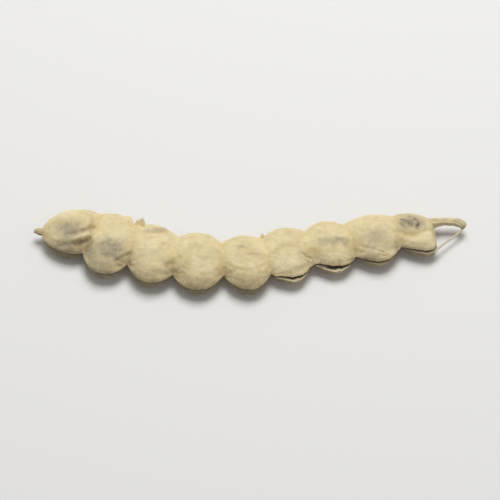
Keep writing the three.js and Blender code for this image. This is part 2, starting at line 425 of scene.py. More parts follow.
def placed(across, height, q):
    """Stands the loops on the midline: each point goes across the heading, and leans along it by
    the slant of its place. The near seam rides a little higher, as the square of the way to it."""
    point, heading = (value[:, None, :] for value in through(MIDLINE, q))
    sideways = np.stack([-heading[..., 1], heading[..., 0]], axis=-1)
    lean = table(SLANT, q)[:, None, None] * across[..., None]
    flat = point + sideways * across[..., None] + heading * lean
    lift = SEAM_LIFT * np.clip(-across / LIFT_REACH, 0, 1) ** 2
    return np.dstack([flat, SEAM_HEIGHT + height + lift])


q = stations()
across, height, side, c, deep = cross_section(q)
smooth_skin = placed(across, height, q)
print(f"skin: {smooth_skin.shape[0]} stations of {smooth_skin.shape[1]} points")

# %% [markdown]
# ## Felted skin
#
# Dry felt over a shrunken husk is lumpy at every scale. Displacing the mesh with a texture would
# do it, but a noise of our own can also paint: the same numbers that raise a wrinkle can darken
# it. Gradient noise puts a random slope at each corner of a lattice of cubes and blends the slopes.

# %% A seeded gradient noise
SLOPES = 4096
SCATTER = (73856093, 19349663, 83492791)  # large primes, which mix up a corner's three numbers
NOISE_STRENGTH = 1.6


def noise(points, cell, seed):
    """Noise of about -1 to 1 with lumps one cell wide. Each corner of the cube around a point adds
    the dot product of its random direction with the step from it, weighted by 6t⁵ - 15t⁴ + 10t³."""
    directions = np.random.default_rng(seed).normal(size=(SLOPES, 3))
    directions /= np.linalg.norm(directions, axis=1, keepdims=True)
    scaled = points / cell
    corner = np.floor(scaled).astype(int)
    step = scaled - corner
    ease = step ** 3 * (step * (6 * step - 15) + 10)
    total = np.zeros(points.shape[:-1])
    for offset in np.ndindex(2, 2, 2):
        x, y, z = np.moveaxis((corner + offset) * SCATTER, -1, 0)
        slope = (directions[(x ^ y ^ z) % SLOPES] * (step - offset)).sum(-1)
        total += slope * np.where(offset, ease, 1 - ease).prod(-1)
    return NOISE_STRENGTH * total


def noises(points, cell, seeds):
    """Several noises side by side, as the parts of a vector."""
    return np.stack([noise(points, cell, seed) for seed in seeds], axis=-1)


DRIFT = [0.3, 0.3, 0.15]  # how far the whole skin drifts along, across and up
drift = noises(smooth_skin, 7, (1, 2, 3)) * DRIFT
skin = smooth_skin + drift
plan = skin[..., :2]
print(f"drift: up to {np.abs(drift).max():.2f} mm")

# %% [markdown]
# ## Relief
#
# Nothing on a dried pod is smooth. As it dries, the husk draws in at the waists, puckers at the notches
# and folds where a seed gave way, and the seams stay proud as thin rims beside a sunken margin. Each of
# these is one short formula of where a point is, and the sum of them moves the skin in or out along its
# own outward direction. Folds that stand out are listed one by one, in plan.

# %% Where each point of the skin lies
is_upper = side == 1
is_lower = side == -1
is_outer = side != 0
near_seam = near_edge(q)[:, None]
far_seam = far_edge(q)[:, None]
from_near = across - near_seam
from_far = far_seam - across
gaping = gape(q)[:, None]
pinched = pinch(q)[:, None]
print(f"points: {is_upper.sum()} upper, {is_lower.sum()} lower and {(side == 0).sum()} seam in a loop")

# %% Creases across the waists
CHAMBER_LENGTH = 11
WAIST_CREASES = np.array([0, 0, 0.30, 0.03, 0.04, 0.20, 0.08, 0.06, 0.12, 0.10, 0])
CREASE_WIDTH = 0.45
WANDER = 0.035  # in chambers

wander = WANDER * noise(skin, 4, 5)
nearest_waist = np.round(q).astype(int)
from_waist = CHAMBER_LENGTH * np.abs(q[:, None] + wander - nearest_waist[:, None])
waist_crease = WAIST_CREASES[nearest_waist][:, None] * bump(from_waist, CREASE_WIDTH)
print(f"creases at {(WAIST_CREASES > 0).sum()} waists")


# %% Rims and sunken margins of the seams, and the belly of the lower valve
def ridge(height, distance, place, width):
    """A ridge along a seam, or a groove where its height is negative: the height times a bump at
    a place away from the seam."""
    return height * bump(distance - place, width)


BELLY = 0.9  # fades in over the first third of a chamber, so that the beak has none
FAR_MARGIN = -0.24
SHUT_MARGIN = -0.05
OPEN_MARGIN = -0.14

far_rim = ridge(0.16, from_far, place=0.3, width=0.32)
far_margin = ridge(FAR_MARGIN, from_far, place=1.5, width=0.6) * (1 - 0.6 * pinched)
near_rim = ridge(0.06, from_near, place=0.3, width=0.35)
near_margin = ridge(between(SHUT_MARGIN, OPEN_MARGIN, gaping), from_near, place=1.4, width=0.6)
past_tip = np.clip(3 * (q - FIRST_CHAMBER), 0, 1)[:, None]
belly = ridge(BELLY * past_tip * is_lower, from_near, place=0.5, width=0.9)
belly = belly * (1 - gaping) * (1 - pinched ** 2)
rims = (far_rim + far_margin) + (near_rim + near_margin) + belly
print(f"rims and margins: {rims.min():.2f} to {rims.max():.2f} mm")

# %% Puckers that run out of the notches
PUCKER_REACH = 1.2


def pucker(plan, notch, seed):
    """Wrinkles that run out of a notch: nine ridges round it, of uneven height, as two sines of the
    direction from it, strongest 1.2 mm away and gone by 6 mm."""
    away = plan - notch
    distance = np.linalg.norm(away, axis=-1)
    turn = np.arctan2(away[..., 1], away[..., 0])
    fade = (distance / PUCKER_REACH) * np.exp(1 - distance / PUCKER_REACH)
    uneven = 0.7 + 0.3 * np.sin(17 * turn + 2 * seed)
    return fade * np.sin(9 * turn + seed) * uneven


puckers = np.zeros(across.shape)
for number, waist in enumerate(WAISTS):
    row = np.argmin(np.abs(q - waist))
    for seam in (near_seam, far_seam):
        notch = placed(seam[row:row + 1], np.zeros((1, 1)), q[row:row + 1])[0, 0, :2]
        puckers += pucker(plan, notch, 3 * number + seam[row, 0])
print(f"puckers: {puckers.min():.1f} to {puckers.max():.1f}")


# %% Folds and creases of the upper valve
def from_line(plan, line):
    """Distance of each point in plan from a line of straight stretches."""
    nearest = np.full(plan.shape[:-1], np.inf)
    for start, end in zip(line[:-1], line[1:]):
        start = np.array(start)
        stretch = np.array(end) - start
        share = np.clip((plan - start) @ stretch / (stretch @ stretch), 0, 1)
        gap = plan - start - share[..., None] * stretch
        nearest = np.minimum(nearest, np.linalg.norm(gap, axis=-1))
    return nearest


# Each is a line in plan, its height off the skin (a crease is negative), and its width.
FOLDS = [
    ([(-49.6, 2.0), (-47.2, 2.2), (-45.0, 1.9)], 0.28, 0.70),
    ([(-44.9, 1.8), (-43.3, 2.3), (-41.5, 3.1), (-39.8, 4.0)], 0.64, 0.72),
    ([(-45.9, 3.3), (-43.8, 3.9), (-41.6, 4.7), (-40.2, 5.6)], -0.62, 0.68),
    ([(-40.3, 5.6), (-39.9, 7.0), (-39.5, 8.8)], -0.30, 0.60),
    ([(-48.0, 5.8), (-46.0, 4.4)], -0.35, 1.5),
    ([(-43.2, 7.0), (-41.4, 7.6)], 0.24, 1.3),
    ([(-43.7, 0.9), (-42.2, 1.3), (-40.8, 2.3)], -0.60, 0.62),
    ([(-48.8, 0.3), (-46.6, 0.4)], -0.25, 0.8),
    ([(-43.8, 0.1), (-42.6, 0.5)], -0.22, 0.45),
    ([(-46.6, -0.4), (-44.8, 0.2)], 0.24, 0.6),
    ([(-36.4, -0.3), (-34.4, -0.9)], -0.16, 1.3),
    ([(-33.9, -4.4), (-32.6, -3.3), (-30.6, -2.2)], -0.32, 0.50),
    ([(-33.6, -2.9), (-31.0, -1.2)], 0.18, 0.6),
    ([(-29.0, -4.3), (-28.2, -3.4)], -0.16, 0.5),
    ([(-26.8, 3.6), (-23.8, 4.5), (-20.9, 4.7)], -0.36, 0.8),
    ([(-26.4, 2.2), (-23.4, 2.9), (-20.6, 3.2)], 0.20, 0.6),
    ([(-20.8, -5.7), (-19.4, -4.7), (-18.0, -3.6)], -0.34, 0.60),
    ([(-15.6, -0.2), (-13.9, -0.1), (-12.6, -0.5)], -0.12, 0.35),
    ([(-13.6, -3.9), (-12.0, -4.3), (-10.4, -4.2)], -0.14, 0.35),
    ([(-17.0, -6.4), (-14.6, -8.2), (-11.4, -8.8), (-8.6, -7.6)], -0.12, 0.4),
    ([(-16.0, -5.6), (-13.6, -7.0), (-10.8, -7.4)], -0.07, 0.35),
    ([(-4.0, -0.5), (-2.6, -0.8), (-0.9, -0.7)], -0.18, 0.35),
    ([(-0.8, -3.1), (0.8, -2.8), (2.5, -3.0)], -0.15, 0.35),
    ([(-4.7, -6.1), (-2.4, -7.5), (0.4, -7.8), (4.0, -5.2)], -0.14, 0.4),
    ([(-4.4, -4.6), (-2.0, -6.0), (0.6, -6.2), (3.4, -4.0)], -0.09, 0.4),
    ([(13.2, -2.4), (14.3, -3.0), (15.1, -3.1)], -0.26, 0.36),
    ([(15.0, -2.6), (15.6, -1.2)], -0.13, 0.9),
    ([(11.4, -5.6), (13.8, -5.1)], 0.22, 0.8),
    ([(18.0, 0.6), (21.2, 1.0), (24.6, 0.7)], -0.18, 1.3),
    ([(19.0, -2.3), (21.6, -2.2), (24.4, -1.6)], 0.20, 1.2),
    ([(21.8, 1.2), (23.4, 1.5)], -0.10, 0.6),
    ([(27.4, 0.4), (29.4, -0.6), (31.8, -0.8)], -0.10, 0.4),
    ([(31.0, -1.1), (33.7, -1.9)], -0.26, 0.35),
    ([(32.2, -2.4), (35.2, -2.7)], -0.20, 0.3),
    ([(38.2, 4.2), (40.0, 3.3), (42.0, 3.0), (45.6, 4.9)], -0.34, 0.75),
    ([(39.4, 0.8), (42.0, 0.9), (44.8, 1.5)], 0.26, 1.3),
]

folds = np.zeros(across.shape)
for line, lift, width in FOLDS:
    folds += is_upper * lift * bump(from_line(plan, line), width)
print(f"{len(FOLDS)} folds laid by hand")

# %% Creases of the lower valve, scattered by a seeded draw
LOWER_CREASES = 18
END_ROWS = (60, 40)  # stations left out at the tip and at the stalk
EDGE_COLUMNS = 8  # points left out beside each seam

draw = np.random.default_rng(21)
for _ in range(LOWER_CREASES):
    row = draw.integers(END_ROWS[0], STATIONS - END_ROWS[1])
    column = -LIP_POINTS - draw.integers(EDGE_COLUMNS, LOWER_POINTS - EDGE_COLUMNS)
    turn = draw.uniform(0, np.pi)
    length = draw.uniform(1.5, 3.5)
    depth = draw.uniform(0.08, 0.22)
    start = skin[row, column, :2]
    end = start + length * np.array([np.cos(turn), np.sin(turn)])
    folds += is_lower * -depth * bump(from_line(plan, [start, end]), CREASE_WIDTH)
print(f"folds: {folds.min():.2f} to {folds.max():.2f} mm")

# %% Cracks of the upper valve
# Each is a line in plan, its width, and its strength from 0 to 1.
CRACKS = [
    ([(38.7, 8.2), (39.9, 7.0), (41.1, 5.8)], 0.36, 0.75),
    ([(41.8, 8.5), (42.8, 6.9), (42.3, 5.1)], 0.38, 0.95),
    ([(38.2, 6.8), (39.5, 5.2)], 0.32, 0.50),
    ([(40.2, 8.8), (41.0, 9.4)], 0.34, 0.45),
    ([(40.9, 7.6), (41.5, 6.5)], 0.28, 0.35),
    ([(28.0, -2.7), (29.8, -3.2), (31.6, -3.5)], 0.30, 0.50),
    ([(31.1, -3.1), (32.9, -2.8), (35.1, -2.3)], 0.32, 0.40),
    ([(22.4, -4.6), (23.3, -4.3)], 0.30, 0.45),
    ([(24.3, -3.9), (25.1, -3.4)], 0.28, 0.40),
    ([(25.8, -3.0), (26.3, -2.4)], 0.25, 0.35),
    ([(17.8, -4.6), (20.4, -5.1)], 0.22, 0.35),
]
CRACK_SHAKE = 0.35

shaky = plan + CRACK_SHAKE * noises(skin, 0.9, (6, 7))
cracks = np.zeros(across.shape)
for line, width, strength in CRACKS:
    cracks = np.maximum(cracks, is_upper * strength * bump(from_line(shaky, line), width))
print(f"{len(CRACKS)} cracks laid by hand")


# %% Move the skin
# Lumps at four scales: how high, how wide, and a seed. The streaks are drawn out along the pod.
LUMPS = [(0.20, 5, 10), (0.12, 3, 11), (0.06, 1.5, 12), (0.03, 0.8, 13)]
STREAK_HEIGHT = 0.05
DRAWN_OUT = [0.35, 1, 1]
PUCKER_HEIGHT = 0.09
CRACK_DEPTH = 0.22
LIP_FADE = 0.06  # the relief fades out over these shares of a valve and of a chamber
STALK_FADE = 0.12
TABLE_SOFTNESS = 0.01


def outward(skin):
    """The skin's outward direction: the cross product of the steps along and round it."""
    along = np.gradient(skin, axis=0)
    around = np.roll(skin, -1, axis=1) - np.roll(skin, 1, axis=1)
    direction = np.cross(along, around)
    return direction / np.maximum(np.linalg.norm(direction, axis=-1, keepdims=True), 1e-9)


def above_table(height):
    """The larger of a height and 0, with a soft corner: half of h plus the root of h² + 0.01."""
    return (height + np.sqrt(height ** 2 + TABLE_SOFTNESS)) / 2


lumps = sum(lift * noise(skin, size, seed) for lift, size, seed in LUMPS)
streaks = STREAK_HEIGHT * noise(skin * DRAWN_OUT, 1.1, 14)
wrinkles = PUCKER_HEIGHT * (1 - 0.5 * gaping) * puckers
relief = lumps + streaks - waist_crease + wrinkles + rims + folds - CRACK_DEPTH * cracks
to_lip = np.clip((1 - np.abs(c)) / LIP_FADE, 0, 1)
to_stalk = np.clip((LAST_CHAMBER + 1 - q) / STALK_FADE, 0, 1)[:, None]
skin = skin + outward(skin) * (is_outer * to_lip * to_stalk * relief)[..., None]
skin[..., 2] = above_table(skin[..., 2])
skin[..., 2] -= skin[..., 2].min()
print(f"relief: {relief.min():.2f} to {relief.max():.2f} mm, height {skin[..., 2].max():.2f} mm")

# %% [markdown]
# ## Paint that knows the surface
#
# A painted picture wrapped round the pod would smear at its edges, so the colour is worked out instead.
# Grey bloom and thick pale felt lie in patches, and some of these patches are painted shade and painted
# highlight, as is a light line along the far rim. Brown stains lie in patches, and painted shade darkens
# the steep near flanks, the underside and some folds. Tan lies where the husk is bare, and in the
# creases it is partly painted shade. Torn lips are pale, partly as a painted highlight, and cracks and
# the slit are dark with painted shade. Each of these is stored on the mesh as a number from 0 to 1 at
# every point, and the material later decides what colour it stands for.

# %% Patches with ragged edges
RAGGED_BY = 0.8

ragged = plan + RAGGED_BY * noises(skin, 2.2, (8, 9))


def patches(places):
    """Soft oval patches with ragged edges on the upper valve, added up. Each is its middle in plan,
    its half-width along and across, and its strength."""
    total = np.zeros(across.shape)
    for middle, spread, strength in places:
        total += is_upper * strength * bump(np.linalg.norm((ragged - middle) / spread, axis=-1), 1)
    return total


def mottled(amount, steady, swing, size, seed):
    """An amount times a factor that wavers by a swing round a steady share, in lumps of a size."""
    return amount * (steady + swing * noise(skin, size, seed))


print(f"ragged edges stray up to {np.linalg.norm(ragged - plan, axis=-1).max():.1f} mm")

# %% Grey bloom, and painted shade in a few folds and on the near flanks
# Patches of grey bloom. A few narrow ones along folds, and those low on the near flanks, are painted
# shade.
BLOOM_AND_SHADE = [
    ((-46.6, 4.8), (3.0, 2.5), 1.35),
    ((-45.4, 3.3), (1.6, 0.8), 0.7),
    ((-41.7, 4.8), (2.0, 0.6), 0.8),
    ((-40.1, 7.2), (0.9, 1.5), 0.7),
    ((-47.2, 0.2), (2.5, 1.0), 1.1),
    ((-35.3, -1.0), (3.1, 2.8), 1.6),
    ((-35.3, -1.1), (2.0, 1.8), 1.0),
    ((-40.2, -2.4), (1.9, 2.6), 0.7),
    ((-37.6, -5.2), (2.6, 1.5), 0.4),
    ((-34.6, -5.6), (2.0, 0.8), 0.3),
    ((-23.8, 4.8), (3.2, 1.1), 0.8),
    ((-24.6, -7.4), (2.2, 1.0), 0.35),
    ((-25.0, -2.6), (3.0, 1.8), 0.25),
    ((-9.6, -4.0), (2.8, 1.8), 0.3),
    ((1.6, -3.6), (2.2, 1.6), 0.3),
    ((-2.6, -0.8), (1.5, 0.5), 0.6),
    ((1.0, -3.0), (1.7, 0.5), 0.5),
    ((-12.0, -4.2), (1.7, 0.5), 0.35),
    ((-14.2, -0.3), (1.6, 0.5), 0.25),
    ((10.4, 3.6), (2.4, 1.5), 0.3),
    ((14.0, -2.8), (0.7, 0.4), 0.9),
    ((22.7, 1.5), (1.3, 0.9), 1.1),
    ((20.0, 0.9), (3.2, 1.4), 0.8),
    ((24.4, 0.6), (1.3, 1.0), 0.7),
    ((32.2, 2.7), (4.0, 2.4), 0.75),
    ((31.0, 0.0), (3.6, 1.6), 0.5),
    ((30.8, -3.0), (3.4, 0.7), 0.6),
    ((41.2, 7.1), (3.7, 2.7), 1.35),
]
THIN_BLOOM = 0.25
UNDERSIDE_BLOOM = 0.3

bloom_and_shade = patches(BLOOM_AND_SHADE) + THIN_BLOOM * np.clip(noise(skin, 5, 31), 0, 1)
bloom_and_shade += is_lower * UNDERSIDE_BLOOM * np.clip(noise(skin, 4, 32), 0, 1)
bloom_and_shade = mottled(bloom_and_shade, steady=0.85, swing=0.3, size=1.3, seed=33)
print(f"bloom: {len(BLOOM_AND_SHADE)} patches, {bloom_and_shade.mean():.2f} on average")

# %% Brown stains, and painted shade on the near flanks, in folds and on the underside
# Patches of brown stain, and of painted shade on shaded flanks and in folds.
STAIN_AND_SHADE = [
    ((-45.4, -0.1), (4.2, 1.5), 1.6),
    ((-41.6, 1.7), (1.5, 0.8), 1.6),
    ((-43.0, 0.3), (1.0, 0.7), 0.8),
    ((-40.8, 0.4), (1.0, 1.6), 0.5),
    ((-43.4, 4.2), (3.0, 0.8), 0.3),
    ((-36.0, -7.4), (4.0, 1.2), 0.4),
    ((-32.8, -4.0), (2.2, 0.9), 1.0),
    ((-30.8, -3.1), (1.2, 1.0), 0.5),
    ((-30.4, -1.9), (0.7, 0.5), 0.8),
    ((-38.8, -4.8), (2.4, 1.6), 0.3),
    ((-31.6, -4.6), (1.4, 1.4), 0.7),
    ((-19.9, -7.0), (1.4, 1.6), 0.45),
    ((-28.8, -6.2), (1.5, 1.6), 0.3),
    ((-19.6, -5.0), (1.9, 0.9), 0.6),
    ((-17.8, -7.4), (1.8, 1.6), 0.45),
    ((-5.8, -7.8), (1.6, 1.0), 0.5),
    ((-12.2, -10.2), (4.6, 1.3), 0.36),
    ((0.0, -10.0), (4.6, 1.3), 0.34),
    ((-7.4, -2.5), (0.9, 1.6), 0.3),
    ((16.0, -1.0), (1.5, 1.1), 0.25),
    ((28.6, -3.3), (2.4, 0.6), 0.6),
    ((37.6, 0.6), (1.0, 1.4), 0.3),
]
# How much painted shade falls on the near flank beside a closed seam and on the underside, how brown the
# closed seam and the torn lips are, and how far from the near seam's line the seam and its lips reach.
NEAR_FLANK_SHADE = 0.55
SEAM_BROWN = 0.55
UNDERSIDE_SHADE = 0.32
TORN_LIP_BROWN = 0.5
SEAM_REACH = 1.5
LIP_REACH = 1

closed_seam = (1 - gaping) * (from_near < SEAM_REACH)
seam_line = closed_seam * bump(height, 0.3)
# Painted shade on the lower valve just under a closed near seam.
belly_shade = is_lower * (1 - gaping) * bump(from_near, 1.8)
torn_lip = gaping ** 0.5 * (side != 1) * bump(height, 0.75) * (from_near < LIP_REACH)

# Painted shade on the near flank beside a closed seam, added to the patches.
stain_and_shade = patches(STAIN_AND_SHADE) + NEAR_FLANK_SHADE * (1 - gaping) ** 3 * bump(from_near, 2.3)
stain_and_shade += SEAM_BROWN * seam_line
# Painted shade over the whole underside, mottled, and deeper under a closed seam.
stain_and_shade += is_lower * (UNDERSIDE_SHADE + 0.4 * noise(skin, 3, 36) + belly_shade)
stain_and_shade = mottled(stain_and_shade, steady=0.9, swing=0.4, size=1.3, seed=37)
stain_and_shade += TORN_LIP_BROWN * torn_lip
print(f"weather: {len(STAIN_AND_SHADE)} patches, {stain_and_shade.mean():.2f} on average")

# %% Tan where the husk is bare, and partly painted shade where it is creased
HUSK = [
    ((-39.0, 8.9), (1.0, 0.8), 0.7),
    ((-39.2, 5.0), (0.8, 1.6), 0.5),
    ((-43.0, 0.4), (0.8, 0.6), 0.8),
    ((-29.3, -0.8), (1.4, 2.8), 0.6),
    ((-7.0, -2.2), (0.7, 3.2), 0.5),
    ((-6.4, -5.8), (2.1, 1.5), 0.7),
    ((0.4, -8.6), (3.8, 1.8), 0.35),
    ((13.4, 4.2), (1.3, 1.2), 0.6),
    ((17.2, -1.6), (2.4, 1.3), 0.55),
    ((22.4, -3.0), (3.0, 1.2), 0.15),
    ((26.5, 1.6), (1.0, 2.6), 0.6),
    ((28.6, -0.6), (1.3, 0.8), 0.6),
    ((42.0, 0.8), (3.6, 1.6), 0.15),
]
WAIST_TAN = 0.40
CREASE_TAN = 1.4
FOLD_TAN = 0.45
DEEP_FOLD = 0.35
BEAK_TAN_END = 1.35  # in chambers

creased = np.clip(-folds / DEEP_FOLD, 0, 1)
beak = np.clip(BEAK_TAN_END - q, 0, 1)[:, None]
# In the waist creases and the folds the tan is partly painted shade.
tan = patches(HUSK) + WAIST_TAN * bump(from_waist, 1.5) + CREASE_TAN * waist_crease
tan += FOLD_TAN * creased
tan += beak
tan = mottled(tan, steady=0.85, swing=0.6, size=2.2, seed=34)
print(f"tan: {len(HUSK)} patches, {tan.mean():.2f} on average")

# %% Thick pale felt and painted highlights, pale torn lips, and painted shade in cracks, slits and under the closed seam
# Patches of thick pale felt, partly a painted highlight where a flank turns away from the light.
LIGHT = [
    ((-44.6, 8.4), (1.8, 1.0), 0.5),
    ((-41.7, 3.1), (2.1, 0.7), 1.0),
    ((-33.6, 4.2), (3.2, 2.0), 0.5),
    ((-28.6, 0.8), (1.4, 1.8), 0.6),
    ((-17.0, -0.8), (2.2, 1.7), 0.8),
    ((-11.6, -7.0), (2.2, 1.2), 0.9),
    ((-4.6, -4.2), (1.7, 1.4), 1.0),
    ((5.6, 1.2), (1.7, 3.2), 1.0),
    ((4.9, -1.8), (1.2, 1.6), 0.5),
    ((7.8, -5.8), (2.4, 2.2), 1.6),
    ((10.4, -4.4), (2.2, 1.8), 0.9),
    ((18.8, -3.4), (3.2, 1.3), 1.6),
    ((23.2, -2.8), (2.6, 1.3), 1.1),
    ((27.0, 2.8), (1.6, 1.6), 0.5),
    ((31.6, -0.8), (2.0, 1.3), 0.9),
    ((42.0, 0.7), (4.0, 1.7), 1.4),
    ((45.6, 3.4), (0.9, 2.6), 0.6),
]
RIM_LIGHT = 0.6
TORN_LIP_PALE = 0.4
SEAM_DARK = 0.35
BELLY_DARK = 0.5
CRACK_DARK = 0.65
# The painted shade of a slit starts this deep inside it, closed and wide open, and is full so much
# deeper.
SHUT_START = 0.12
OPEN_START = 0.6
DARK_FADE = 0.35

# A painted highlight runs along the far rim.
light = patches(LIGHT) + RIM_LIGHT * bump(from_far - 0.2, 0.6) * is_outer
# The torn lips are pale partly as a painted highlight, where the lower lip faces away from the light.
pale = TORN_LIP_PALE * torn_lip
slit_shade = np.clip((deep - between(SHUT_START, OPEN_START, gaping)) / DARK_FADE, 0, 1)
slit_shade = slit_shade * np.clip(2.2 * gaping, 0.5, 1)
# Painted shade under the closed seam, beside the seam's own dark line.
dark = slit_shade + SEAM_DARK * seam_line + BELLY_DARK * belly_shade
# Painted shade in the cracks.
dark += cracks * (CRACK_DARK + 0.5 * noise(skin, 0.8, 35))
print(f"light: {len(LIGHT)} patches, {light.mean():.2f} on average, dark {dark.mean():.2f}")

# %% [markdown]
# ## Making the meshes
#
# A loop of points at each station makes a net of four-sided faces, and a fan of triangles closes
# each end. One function does this for every piece, so all of them are closed, and the paint goes
# along as named numbers on the points.

# %% Nets into meshes
PAINTS = ("bloom_and_shade", "tan", "stain_and_shade", "dark", "pale", "light")


def net_faces(rows, sides):
    """Faces of a closed tube of rings, with a fan round the point added after the rings at each end."""
    index = np.arange(rows * sides).reshape(rows, sides)
    beside = np.roll(index, -1, axis=1)
    quads = np.stack([index[:-1], index[1:], beside[1:], beside[:-1]], axis=-1).reshape(-1, 4)
    first = [(rows * sides, a, b) for a, b in zip(index[0], beside[0])]
    last = [(rows * sides + 1, b, a) for a, b in zip(index[-1], beside[-1])]
    return quads.tolist() + first + last


def add_mesh(name, points, faces):
    """A smooth mesh object from points in millimetres."""
    mesh = bpy.data.meshes.new(name)
    mesh.from_pydata((points * MM).tolist(), [], faces)
    mesh.shade_smooth()
    piece = bpy.data.objects.new(name, mesh)
    bpy.context.scene.collection.objects.link(piece)
    print(f"{name}: {len(points)} points, {len(faces)} faces")
    return piece


def add_net(name, rings, paint):
    """A closed skin over (rows, sides, 3) rings, with each paint clipped to 0 to 1. A paint that
    isn't given is 0 everywhere, and each end's own point gets the mean of its ring."""
    rows, sides = rings.shape[:2]
    points = np.vstack([rings.reshape(-1, 3), rings[[0, -1]].mean(axis=1)])
    piece = add_mesh(name, points, net_faces(rows, sides))
    for colour in PAINTS:
        value = np.zeros((rows, sides)) + paint.get(colour, 0)
        value = np.concatenate([value.ravel(), value[[0, -1]].mean(axis=1)])
        stored = piece.data.attributes.new(colour, "FLOAT", "POINT")
        stored.data.foreach_set("value", np.clip(value, 0, 1).astype(np.float32))
    return piece


paint = {"bloom_and_shade": bloom_and_shade, "tan": tan, "stain_and_shade": stain_and_shade, "dark": dark, "pale": pale, "light": light}
pod = add_net("felted_pod", skin, paint)

# %% [markdown]
# ## Stalk and torn fibre
#
# The stalk is a dry twig with ribs along it, which flares where it grows out of the pod and bends
# down to the scar where it came off the branch. A strand of the seam has torn loose beside it. A
# curve with a bevel would make plain round rods of them. Both are a cross-section carried along a
# smooth path instead, as the pod is, so their ribs and twist are part of the same short formula.


# %% A limb along a path
def limb(path, radii, stations, sides, flatness=1.0, ribs=0, rib_height=0.0, twist=0.0, round_end=0.0):
    """Rings across a path: an ellipse of the given radius, its height flatness times its width,
    with ribs as a cosine of the angle round it, and a steady twist from end to end. A round end
    closes over the last stretch as a quarter of a circle does, down to a seventh of its size. The
    angle runs backwards, so that the points go round as the pod's do and the faces point outwards."""
    t = np.linspace(0, len(path) - 1, stations)
    centre, heading = through(np.array(path, float), t)
    sideways = np.cross([0, 0, 1], heading)
    sideways /= np.linalg.norm(sideways, axis=-1, keepdims=True)
    up = np.cross(heading, sideways)
    angle = np.linspace(0, -2 * np.pi, sides, endpoint=False)[None, :]
    reach = table(radii, t)[:, None] * (1 + rib_height * np.cos(ribs * angle))
    if round_end:
        past = np.clip((t - t[-1] + round_end) / round_end, 0, 1)
        reach = reach * np.sqrt(1.02 - past ** 2)[:, None]
    turned = angle + twist * (t / t[-1])[:, None]
    wide = reach * np.cos(turned)
    high = flatness * reach * np.sin(turned)
    return centre[:, None] + wide[..., None] * sideways[:, None] + high[..., None] * up[:, None]


def below_middle(rings, most):
    """How far each point lies below the middle of its ring, in millimetres, up to a most."""
    height = rings[..., 2]
    return np.clip(height.mean(axis=1, keepdims=True) - height, 0, most)


# %% The stalk
# The path starts inside the pod, leaves it at the knot, and then keeps within 0.5 mm of the packed
# part's.
STALK_PATH = [
    (43.6, 6.9, 3.1), (45.4, 7.5, 3.1), (47.1, 8.1, 3.2), (49.2, 8.3, 3.3), (51.6, 8.4, 3.4),
    (53.8, 8.0, 3.2), (54.9, 6.9, 2.85),
]
STALK_RADII = [0.9, 1.8, 1.25, 0.95, 0.95, 1.0, 0.85]
STALK_STATIONS = 110
STALK_SIDES = 40
STALK_LUMPS = [(0.10, 1.6, 41), (0.04, 0.6, 42)]
KNOT = 0.34  # a share of the path
SCAR = 1

stalk_rings = limb(STALK_PATH, STALK_RADII, STALK_STATIONS, STALK_SIDES,
                   flatness=0.9, ribs=7, rib_height=0.08, twist=0.9, round_end=0.5)
for lift, size, seed in STALK_LUMPS:
    stalk_rings += lift * noise(stalk_rings, size, seed)[..., None]
stalk_rings += 0.08 * noise(stalk_rings * [0.25, 1, 1], 0.5, 44)[..., None]

along = np.linspace(0, 1, STALK_STATIONS)[:, None]
stalk_paint = {
    "tan": 0.15 + 0.7 * bump(along - KNOT, 0.09) + 0.5 * bump(along - SCAR, 0.08),
    "bloom_and_shade": 0.3 + 0.3 * noise(stalk_rings, 1.5, 43),
    # Brown stain at the scar, and painted shade along the underside.
    "stain_and_shade": 0.25 * bump(along - SCAR, 0.2) + 0.8 * below_middle(stalk_rings, 1),
    "dark": 0.5 * bump(along - SCAR, 0.015),
}
stalk = add_net("ribbed_stalk", stalk_rings, stalk_paint)

# %% The torn fibre
# Its foot is inside the pod's edge, and its other end lies against the stalk's tip.
FIBRE_PATH = [
    (45.6, -0.8, 3.1), (46.8, -0.1, 2.95), (47.9, 1.0, 2.7), (49.6, 2.6, 2.45), (51.6, 4.2, 2.35),
    (53.5, 5.8, 2.45), (54.7, 7.0, 2.8),
]
FIBRE_RADII = [0.2, 0.34, 0.34, 0.28, 0.26, 0.30, 0.20]
FIBRE_STATIONS = 80
FIBRE_SIDES = 16

fibre_rings = limb(FIBRE_PATH, FIBRE_RADII, FIBRE_STATIONS, FIBRE_SIDES,
                   flatness=0.6, ribs=3, rib_height=0.12, twist=2.5)
fibre_rings += 0.06 * noise(fibre_rings, 1.4, 51)[..., None]
fibre_paint = {
    "tan": 0.1 + 0.2 * noise(fibre_rings, 1.0, 52),
    "bloom_and_shade": 0.3,
    # A little stain, and painted shade along the underside.
    "stain_and_shade": 0.15 + 3 * below_middle(fibre_rings, 0.2),
    "dark": 0.03,
    "light": 0.4,
}
fibre = add_net("torn_fibre", fibre_rings, fibre_paint)

# %% [markdown]
# ## Torn flakes
#
# Skin has torn at two places of the far seam, and a scrap of it still stands there. A cut-out card
# would be a flat sheet with no thickness. A scrap with a wall is a row of flat upright ellipses
# side by side along its root, so its top edge may be as ragged as it likes and it is still closed.

# %% A flake on its root
FLAKE_STATIONS = 61
FLAKE_SIDES = 28
FLAKE_THICKNESS = 0.10
FLAKE_CURL = 0.10


